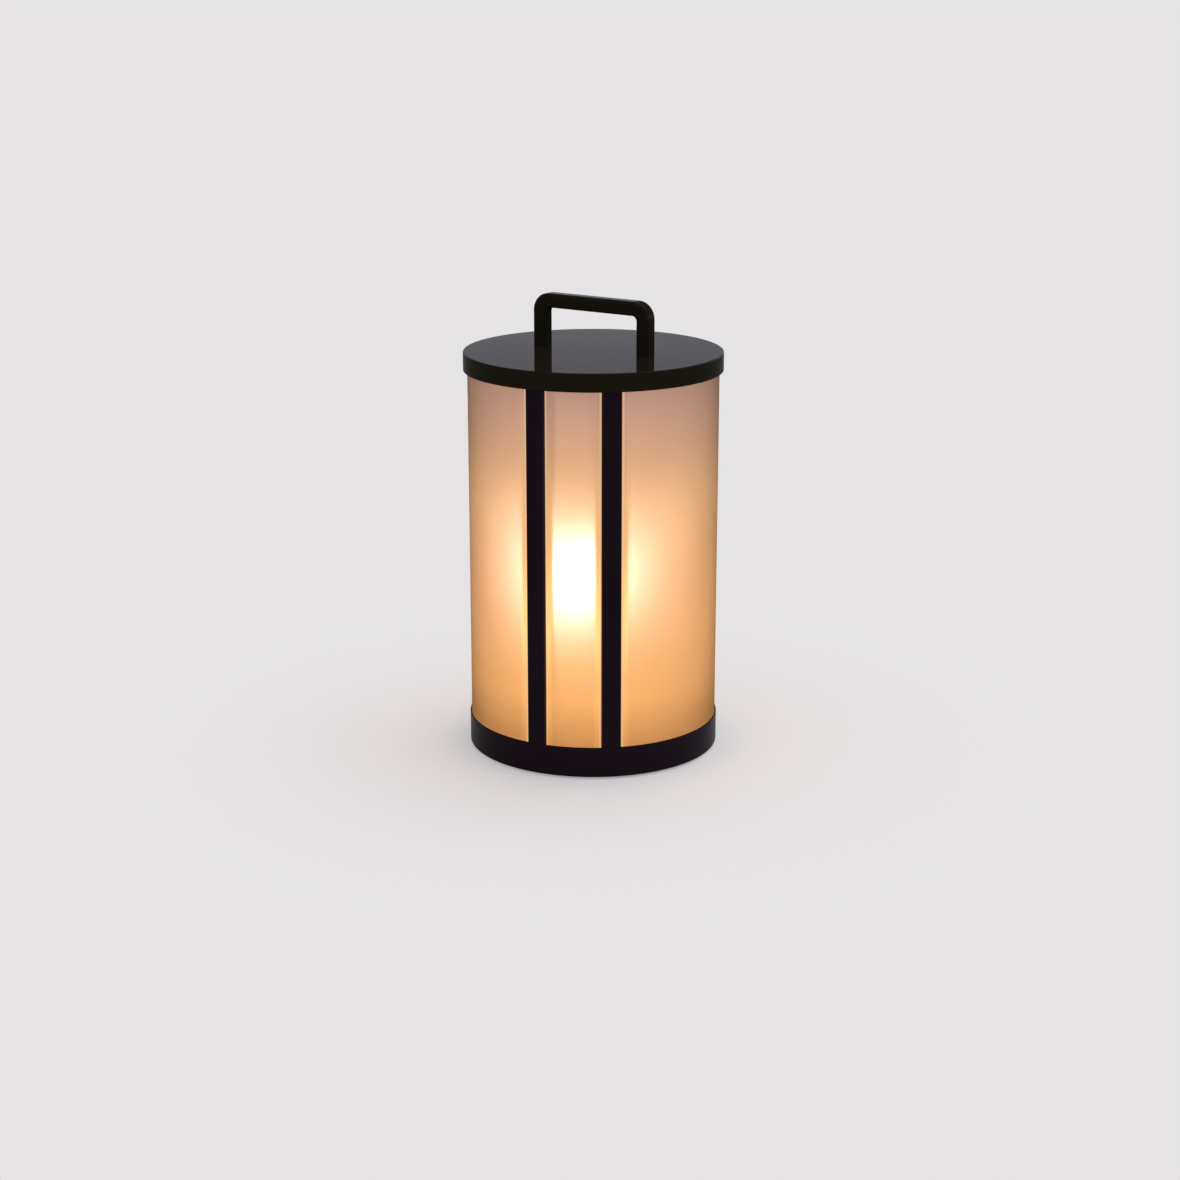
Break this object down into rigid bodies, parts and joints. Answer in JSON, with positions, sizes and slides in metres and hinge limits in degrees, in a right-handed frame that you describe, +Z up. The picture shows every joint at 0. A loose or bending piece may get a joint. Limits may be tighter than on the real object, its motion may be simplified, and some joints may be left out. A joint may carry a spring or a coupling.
{
  "type": "lantern table lamp",
  "caption": "Drum-shaped lantern lamp with curved frosted panes between slim posts, a glossy lid that twists off, a square-bar carrying handle and a low base.",
  "frame": {"origin": "on the floor under the middle of the lamp, at the level of the feet", "axes": "+Z up along the lamp's axis; -Y is the front with its pair of posts; +Y is the rear with the second pair, the charging port and the power button"},
  "size_m": [0.2, 0.2, 0.3541],
  "materials": {
    "gloss_black": "gloss",
    "black_enamel": "satin",
    "frosted_glass": "satin",
    "silicone": "matte",
    "foot_rubber": "matte",
    "zinc_steel": "satin",
    "dark_screws": "satin",
    "white_enamel": "satin",
    "white_moulding": "satin",
    "brass": "satin",
    "nickel": "satin",
    "aluminium_board": "satin",
    "led_yellow": "satin",
    "opal_diffuser": "satin",
    "cell_wrap": "satin",
    "black_moulding": "matte",
    "circuit_board": "satin",
    "component_black": "satin",
    "flap_rubber": "satin",
    "button_plastic": "satin",
    "wire_insulation": "satin"
  },
  "bodies": {
    "root": {"base_plate": "zinc_steel", "base_plate_screws": "dark_screws", "base_shell": "black_enamel", "battery_cells": "cell_wrap", "battery_cradle": "black_moulding", "battery_leads": "wire_insulation", "board_components": "component_black", "board_screws": "zinc_steel", "bulb_cap": "nickel", "bulb_globe": "opal_diffuser", "bulb_neck": "white_moulding", "centre_contact": "brass", "charging_socket": "nickel", "column_screws": "zinc_steel", "driver_board": "circuit_board", "flap_pin": "zinc_steel", "front_left_post": "black_enamel", "front_pane": "frosted_glass", "front_right_post": "black_enamel", "lamp_column": "white_enamel", "lamp_leads": "wire_insulation", "lampholder": "white_moulding", "led_board": "aluminium_board", "led_chips": "led_yellow", "left_pane": "frosted_glass", "lid_seal": "silicone", "lower_glazing_strips": "silicone", "lower_post_screws": "zinc_steel", "rear_left_post": "black_enamel", "rear_pane": "frosted_glass", "rear_right_post": "black_enamel", "right_pane": "frosted_glass", "rubber_feet": "foot_rubber", "switch_board": "circuit_board", "switch_body": "component_black", "switch_leads": "wire_insulation", "top_ring": "black_enamel", "upper_glazing_strips": "silicone", "upper_post_screws": "zinc_steel"},
    "lid": {"lid_shell": "gloss_black", "lock_ring": "zinc_steel", "lock_ring_nuts": "zinc_steel", "handle": "gloss_black", "handle_washers": "zinc_steel", "handle_screws": "zinc_steel"},
    "button": {"power_button": "button_plastic", "switch_plunger": "component_black"},
    "flap": {"port_flap": "flap_rubber"}
  },
  "joints": [
    {"name": "lid_turn", "type": "hinge", "parent": "root", "child": "lid", "pos_m": [0, 0, 0.3107], "axis": [0, 0, 1], "range_deg": [0, 30]},
    {"name": "button_press", "type": "slide", "parent": "root", "child": "button", "axis": [0.4695, -0.8829, 0], "range_m": [0, 0.001], "stiffness_N_per_m": 1500, "springref_m": -0.0005},
    {"name": "flap_swing", "type": "hinge", "parent": "root", "child": "flap", "pos_m": [0, 0.0966, 0.0085], "axis": [-1, 0, 0], "range_deg": [0, 90]}
  ]
}
